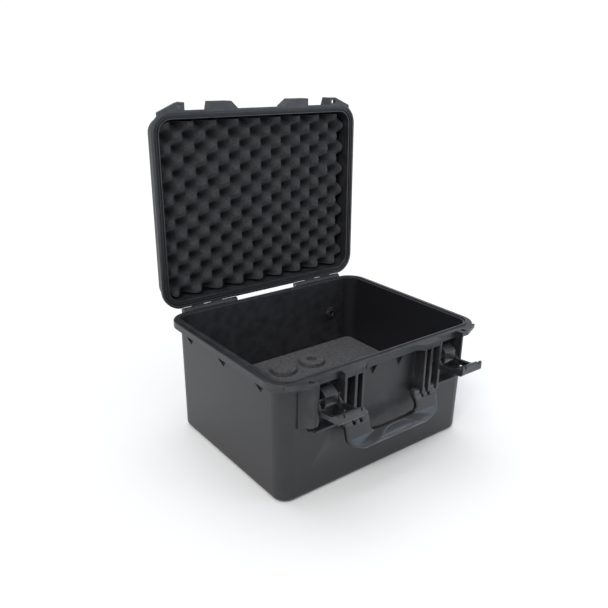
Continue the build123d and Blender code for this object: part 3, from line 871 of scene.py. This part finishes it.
    def plug(self, kind: PlugKind, material: bpy.types.Material) -> bpy.types.Object:
        """Make one plug by turning a rounded profile about its axis.

        The profile starts on the axis, at the top or at the bottom of the ring's bore. It runs
        out along the top to a quarter-circle edge, down a side that pulls in by a sine between
        its ends, and back to the axis. The plain plug has two dents for the fingers.

        Args:
            kind: which plug.
            material: the foam.

        Returns:
            The plug.
        """
        node = f"foam_plug_{kind.value}"
        packed = node_points(node)
        low, high = packed.min(0), packed.max(0)
        centre = (low + high) / 2
        outer = (high[0] - low[0]) / 2
        bored = kind is PlugKind.RING
        arc = np.linspace(0, np.pi / 2, 7)
        lip, top = self.plug_round, high[2]
        profile: List[Tuple[float, float]] = []
        if bored:
            bore, floor, mouth = self.bore_radius, top - self.bore_deep, self.bore_round
            profile += [(NEAR_AXIS, floor), (bore, floor), (bore, top - lip)]
            profile += [(bore + mouth * (1 - math.cos(a)), top - mouth * (1 - math.sin(a)))
                        for a in arc]
        else:
            profile += [(NEAR_AXIS, top)] + [(r * MM, top) for r in self.top_rings]
        profile += [(outer - lip * (1 - math.sin(a)), top - lip * (1 - math.cos(a))) for a in arc]
        down = np.linspace(top - lip, low[2], self.plug_levels + 1)[1:]
        profile += [(outer - self.plug_pinch * math.sin(math.pi * i / self.plug_levels), z)
                    for i, z in enumerate(down, 1)]
        profile += [(NEAR_AXIS, low[2])]
        radius, level = np.array(profile).T
        turn = np.linspace(0, 2 * np.pi, self.around, endpoint=False)
        r, angle = np.meshgrid(radius, turn, indexing="ij")
        x = centre[0] + r * np.cos(angle)
        y = centre[1] + r * np.sin(angle)
        z = np.repeat(level[:, None], len(turn), 1)
        if not bored:
            for side in (-1, 1):
                away = np.hypot(x - centre[0] - side * self.finger_offset, y - centre[1])
                dent = self.finger_deep * np.exp(-((away / self.finger_reach) ** 2))
                z = z - np.where(z > top - 1 * MM, dent, 0)
        points = np.stack([x, y, z], -1).reshape(-1, 3)
        faces = grid_faces(len(radius), len(turn), wrap=True)[:, ::-1]
        piece = make_piece(f"{node}_lifted", points, faces)
        piece.data.materials.append(material)
        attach(piece, f"plug_{kind.value}")
        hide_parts(node)
        return piece


# --------------------------------------------------------------------------- drop handle
@dataclass
class DropHandle:
    """The moulded handle: two flat arms that sweep into a thick grip, with knuckles on the pin."""

    pivot_y: float = -170.5 * MM
    pivot_z: float = 122.5 * MM
    knuckle: float = 6.0 * MM
    cheek_x: float = 51 * MM
    outer_x: float = 99.2 * MM
    arm_top: float = -9.5 * MM
    bottom: float = -50.5 * MM
    grip_top: float = -27.5 * MM
    bend: float = 8 * MM
    elbow: float = -30 * MM
    arm_power: float = 7.0
    grip_power_fall: float = 4.2
    grip_fade: Tuple[float, float] = (40 * MM, 66 * MM)
    front_reach: Tuple[float, ...] = (-22.3 * MM, -22.4 * MM, -15.5 * MM, -10.8 * MM)
    back_reach: Tuple[float, ...] = (-11.7 * MM, -6.8 * MM, -1.5 * MM)
    grip_front: Tuple[float, ...] = (-1.2 * MM, -5.2 * MM, -4.5 * MM)
    grip_back: float = 0.3 * MM
    dish_half: Tuple[float, float] = (34 * MM, 8.5 * MM)
    dish_up: float = 13.5 * MM
    dish_deep: float = 1.1 * MM
    around: int = 72
    knuckle_spans: Tuple[Tuple[float, float], ...] = (
        (51.2 * MM, 64.9 * MM), (70.1 * MM, 78.4 * MM), (84.6 * MM, 99.0 * MM),
    )

    def outline(self, stations: int = 56) -> Tuple[Array, Array]:
        """Inner and outer edge of one half in front view, from the arm's top to the grip's middle.

        The inner edge is a line, a quarter circle and a line. The outer edge is a line down the
        arm, a curve into the slanted corner and a line along the bottom. Each is read at shares
        of its own length that pair the arm, the corner and the grip of the two edges.

        Args:
            stations: number of cross-sections in one half.

        Returns:
            Two arrays of x and z, measured from the pivot's height.
        """
        arc = np.linspace(0, np.pi / 2, 12)
        bend, run = self.bend, stations // 3
        inner = [(self.cheek_x, self.arm_top)]
        inner += [(self.cheek_x - bend * (1 - math.cos(a)),
                   self.grip_top + bend * (1 - math.sin(a))) for a in arc]
        inner += [(0.0, self.grip_top)]
        corner = ((0, 24), (1.0, 18), (4, 13.0), (29, 1.2), (33, 0))
        outer = [(self.outer_x, self.arm_top)]
        outer += [(self.outer_x - inset * MM, self.bottom + rise * MM) for inset, rise in corner]
        outer += [(0.0, self.bottom)]
        return (self.along(np.array(inner), self.three_runs(0.3, 0.55, run)),
                self.along(np.array(outer), self.three_runs(0.22, 0.53, run)))

    @staticmethod
    def three_runs(first: float, second: float, count: int) -> Array:
        """Shares from 0 to 1 in three runs of equal count that meet at two given shares."""
        return np.concatenate([np.linspace(0, first, count), np.linspace(first, second, count)[1:],
                               np.linspace(second, 1, count)[1:]])

    @staticmethod
    def along(line: Array, share: Array) -> Array:
        """Points at the given shares of a broken line's length."""
        length = np.concatenate([[0], np.cumsum(np.linalg.norm(np.diff(line, axis=0), axis=1))])
        at = share * length[-1]
        return np.column_stack([np.interp(at, length, line[:, 0]),
                                np.interp(at, length, line[:, 1])])

    def body(self) -> bpy.types.Object:
        """Skin of the arms and grip.

        Each cross-section is a superellipse that spans the inner and outer edge one way and the
        front and back face the other way. Its power falls from the flat arms to the round grip,
        whose front has a shallow oval dish.

        Returns:
            The skin as a closed mesh.
        """
        inner, outer = self.outline()
        inner = np.vstack([inner, inner[-2::-1] * [-1, 1]])
        outer = np.vstack([outer, outer[-2::-1] * [-1, 1]])
        turn = np.linspace(0, 2 * np.pi, self.around, endpoint=False)
        out_from_middle = np.abs(inner[:, 0] + outer[:, 0]) / 2
        grip_share = 1 - smooth_step(out_from_middle, *self.grip_fade)
        low, arm = self.bottom, self.arm_top
        rings = []
        for near, far, grip in zip(inner, outer, grip_share):
            across, deep = superellipse(turn, self.arm_power - self.grip_power_fall * grip)
            middle, half = (near + far) / 2, (far - near) / 2
            x = middle[0] + half[0] * across
            z = middle[1] + half[1] * across
            level = np.clip(z, low, arm)
            front = np.interp(level, [low, low + 10 * MM, self.elbow, arm], self.front_reach)
            back = np.interp(level, [low, self.elbow, arm], self.back_reach)
            swell = np.interp(level, [low, low + 12 * MM, self.grip_top], self.grip_front)
            front = front + grip * swell
            back = back + grip * self.grip_back
            y = (front + back) / 2 + (front - back) / 2 * deep
            aside, above = x / self.dish_half[0], (z - low - self.dish_up) / self.dish_half[1]
            oval = aside ** 2 + above ** 2
            inside = (1 - smooth_step(oval, 0.8, 1.05)) * smooth_step(deep, 0.3, 0.6)
            dish = self.dish_deep * inside
            rings.append(np.column_stack([x, self.pivot_y + y + dish, self.pivot_z + z]))
        return tube_piece("handle_body", np.array(rings))

    def knuckle_block(self, start: float, end: float) -> bpy.types.Object:
        """One knuckle: a disc round the pin whose sides run down into the arm, with rounded ends.

        Args:
            start: lower x.
            end: higher x.

        Returns:
            The knuckle as a closed mesh.
        """
        turn = np.linspace(-0.15 * np.pi, 1.08 * np.pi, 28)
        head = np.column_stack([self.knuckle * np.cos(turn), self.knuckle * np.sin(turn)])
        foot = np.array([(-9.8, -9.0), (-10.4, -14.0), (-2.0, -14.0), (0.5, -10.0)]) * MM
        profile = np.vstack([head, foot])
        centre = profile.mean(0)
        rounding = ((0.0, 0.93), (0.25, 0.975), (0.7, 1.0))
        steps = [(start + d * MM, s) for d, s in rounding]
        steps += [(end - d * MM, s) for d, s in rounding[::-1]]
        rings = []
        for x, scale in steps:
            shape = centre + (profile - centre) * scale
            rings.append(np.column_stack([
                np.full(len(shape), x), self.pivot_y + shape[:, 0], self.pivot_z + shape[:, 1],
            ]))
        return tube_piece("handle_knuckle", np.array(rings))

    def build(self, material: bpy.types.Material) -> bpy.types.Object:
        """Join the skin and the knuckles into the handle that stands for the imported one."""
        parts = [self.body()]
        for near, far in self.knuckle_spans:
            for side in (-1, 1):
                low, high = sorted((side * near, side * far))
                parts.append(self.knuckle_block(low, high))
        piece = join_pieces("drop_handle", parts)
        outward_faces(piece)
        piece.data.materials.append(material)
        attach(piece, "handle")
        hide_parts("handle")
        return piece


def outward_faces(piece: bpy.types.Object) -> None:
    """Turn every face of a closed mesh outwards."""
    work = bmesh.new()
    work.from_mesh(piece.data)
    bmesh.ops.recalc_face_normals(work, faces=work.faces)
    work.to_mesh(piece.data)
    work.free()


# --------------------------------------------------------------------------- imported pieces
@dataclass
class PackedPieces:
    """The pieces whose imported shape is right: all get a finish, and some get softened edges."""

    soften: Dict[str, float] = field(default_factory=lambda: {
        "latch_hook_left": 0.5 * MM, "latch_hook_right": 0.5 * MM, "valve_nut": 0.4 * MM,
    })
    weld_distance: float = 0.00002
    sharp_angle: float = 32.0

    def dress(self, nodes: Dict[str, bpy.types.Object], slots: Dict[str, str],
              finishes: Dict[str, bpy.types.Material]) -> None:
        """Give each shown node the finish of its slot.

        Args:
            nodes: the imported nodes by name.
            slots: each node's material slot.
            finishes: the material of each slot.
        """
        for name, node in nodes.items():
            if node.hide_render:
                continue
            node.data.materials.clear()
            node.data.materials.append(finishes[slots[name]])
            if name in self.soften:
                self.soften_edges(node, self.soften[name])
            log.info("finish %s -> %s", name, slots[name])

    def soften_edges(self, node: bpy.types.Object, width: float) -> None:
        """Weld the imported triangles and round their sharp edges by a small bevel."""
        weld = node.modifiers.new("weld", "WELD")
        weld.merge_threshold = self.weld_distance
        bevel = node.modifiers.new("soft_edge", "BEVEL")
        bevel.width = width
        bevel.segments = 2
        bevel.limit_method = "ANGLE"
        bevel.angle_limit = math.radians(self.sharp_angle)
        even = node.modifiers.new("even_shading", "WEIGHTED_NORMAL")
        even.keep_sharp = True
        even.weight = 100


# --------------------------------------------------------------------------- floor, lights, camera
class LampKind(Enum):
    """Blender's light for each kind of lamp."""

    SUN = "SUN"
    WINDOW = "AREA"


@dataclass(frozen=True)
class Lamp:
    """A soft light that faces its aim.

    A sun is equally strong all over the floor: its strength is in watts per square metre and its
    width in degrees. A window is a square: its strength is in watts and its width is its side.
    """

    name: str
    kind: LampKind
    place: Tuple[float, float, float]
    width: float
    strength: float
    colour: Colour
    aim: Tuple[float, float, float] = (0.0, 0.0, 0.0)

    def hang(self) -> None:
        """Put the light in the scene."""
        light = bpy.data.lights.new(self.name, self.kind.value)
        light.energy, light.color = self.strength, self.colour
        if self.kind is LampKind.SUN:
            light.angle = math.radians(self.width)
        else:
            light.size = self.width
        lamp = bpy.data.objects.new(self.name, light)
        lamp.location = self.place
        lamp.rotation_mode = "QUATERNION"
        facing = Vector(self.aim) - Vector(self.place)
        lamp.rotation_quaternion = facing.to_track_quat("-Z", "Y")
        bpy.context.scene.collection.objects.link(lamp)


@dataclass
class Studio:
    """A pale floor, a white backdrop, soft light and the camera."""

    camera_azimuth: float = -37.861
    camera_elevation: float = 20.653
    camera_roll: float = 1.009
    camera_place: Tuple[float, float, float] = (-0.68332, -0.82361, 0.63781)
    lens: float = 39.39
    floor_half: float = 12.0
    floor_colour: Colour = (0.93, 0.93, 0.93)
    surroundings: Colour = (0.98, 0.99, 1.0)
    fill_light: float = 0.7
    backdrop: float = 1.05
    lamps: Tuple[Lamp, ...] = (
        Lamp("key", LampKind.SUN, (-1.6, -1.1, 1.9), 26.0, 1.35, (1.0, 0.98, 0.96)),
        Lamp("top", LampKind.SUN, (0.3, 1.0, 2.4), 50.0, 0.7, (0.86, 0.93, 1.0)),
        Lamp("window", LampKind.WINDOW, (2.1, -2.6, 0.75), 1.5, 15.0, (0.62, 0.80, 1.0),
             aim=(0.0, 0.1, 0.3)),
    )

    def floor(self) -> None:
        """Lay a wide pale floor under the case."""
        corners = np.array([(-1, -1, 0), (1, -1, 0), (1, 1, 0), (-1, 1, 0)])
        floor = make_piece("floor", self.floor_half * corners, [[0, 1, 2, 3]], smooth=False)
        material, _, shader = new_material("floor")
        shader.inputs["Base Color"].default_value = opaque(self.floor_colour)
        set_plain(shader, {"Roughness": 0.9})
        floor.data.materials.append(material)
        floor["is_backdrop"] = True

    def world(self) -> None:
        """Light the case evenly from all round, and show a white backdrop behind the floor."""
        world = bpy.data.worlds.new("studio")
        world.use_nodes = True
        bench = NodeBench(world.node_tree)
        background = world.node_tree.nodes["Background"]
        background.inputs["Color"].default_value = opaque(self.surroundings)
        direct = bench.add("ShaderNodeLightPath").outputs["Is Camera Ray"]
        strength = bench.add("ShaderNodeMapRange", Value=direct, To_Min=self.fill_light,
                             To_Max=self.backdrop)
        bench.wire(strength.outputs[0], background.inputs["Strength"])
        bpy.context.scene.world = world

    def camera(self) -> None:
        """Place the camera: its axes follow from azimuth, elevation and roll."""
        azimuth, elevation = math.radians(self.camera_azimuth), math.radians(self.camera_elevation)
        roll = math.radians(self.camera_roll)
        back = Vector((math.sin(azimuth) * math.cos(elevation),
                       -math.cos(azimuth) * math.cos(elevation), math.sin(elevation)))
        level = Vector((math.cos(azimuth), math.sin(azimuth), 0.0))
        rise = back.cross(level)
        right = level * math.cos(roll) + rise * math.sin(roll)
        up = rise * math.cos(roll) - level * math.sin(roll)
        data = bpy.data.cameras.new("camera")
        data.lens, data.sensor_width = self.lens, 36.0
        data.clip_start, data.clip_end = 0.01, 60.0
        camera = bpy.data.objects.new("camera", data)
        turn = Matrix((right, up, back)).transposed().to_4x4()
        camera.matrix_world = Matrix.Translation(Vector(self.camera_place)) @ turn
        bpy.context.scene.collection.objects.link(camera)
        bpy.context.scene.camera = camera

    def build(self) -> None:
        """Set up floor, world, lights and camera."""
        self.camera()
        self.floor()
        self.world()
        bpy.context.scene.view_settings.view_transform = "Standard"
        for lamp in self.lamps:
            lamp.hang()


def main(frame: dict, packed_box: Sequence[Sequence[float]]) -> None:
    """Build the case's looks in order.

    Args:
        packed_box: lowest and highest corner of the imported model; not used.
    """
    logging.basicConfig(level=logging.INFO, format="%(name)s: %(message)s")
    Studio().build()
    effects = SurfaceEffects()
    slot_finish = {
        "case_plastic": Finish.SHELL, "latch_plastic": Finish.LATCH, "foam": Finish.BASE_FOAM,
        "seal_rubber": Finish.SEAL, "steel_pin": Finish.STEEL, "valve_cloth": Finish.CLOTH,
    }
    finishes = {slot: finish.value.build(effects) for slot, finish in slot_finish.items()}
    layout = CaseLayout.from_frame(frame["joints"])
    lining = BaseLining()
    made = [
        EggCrateLining(layout).build(Finish.LID_FOAM.value.build(effects)),
        lining.block(finishes["foam"]),
        lining.plug(PlugKind.PLAIN, finishes["foam"]),
        lining.plug(PlugKind.RING, finishes["foam"]),
        DropHandle().build(finishes["latch_plastic"]),
    ]
    for piece in made:
        log.info("built %s with %d faces", piece.name, len(piece.data.polygons))
    slots = {row["node"]: row["material_slot"] for row in frame["record"]["subparts"]}
    PackedPieces().dress(frame["nodes"], slots, finishes)


if __name__ == "__main__":
    case_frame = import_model()
    main(case_frame, [list(corner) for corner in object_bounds()])
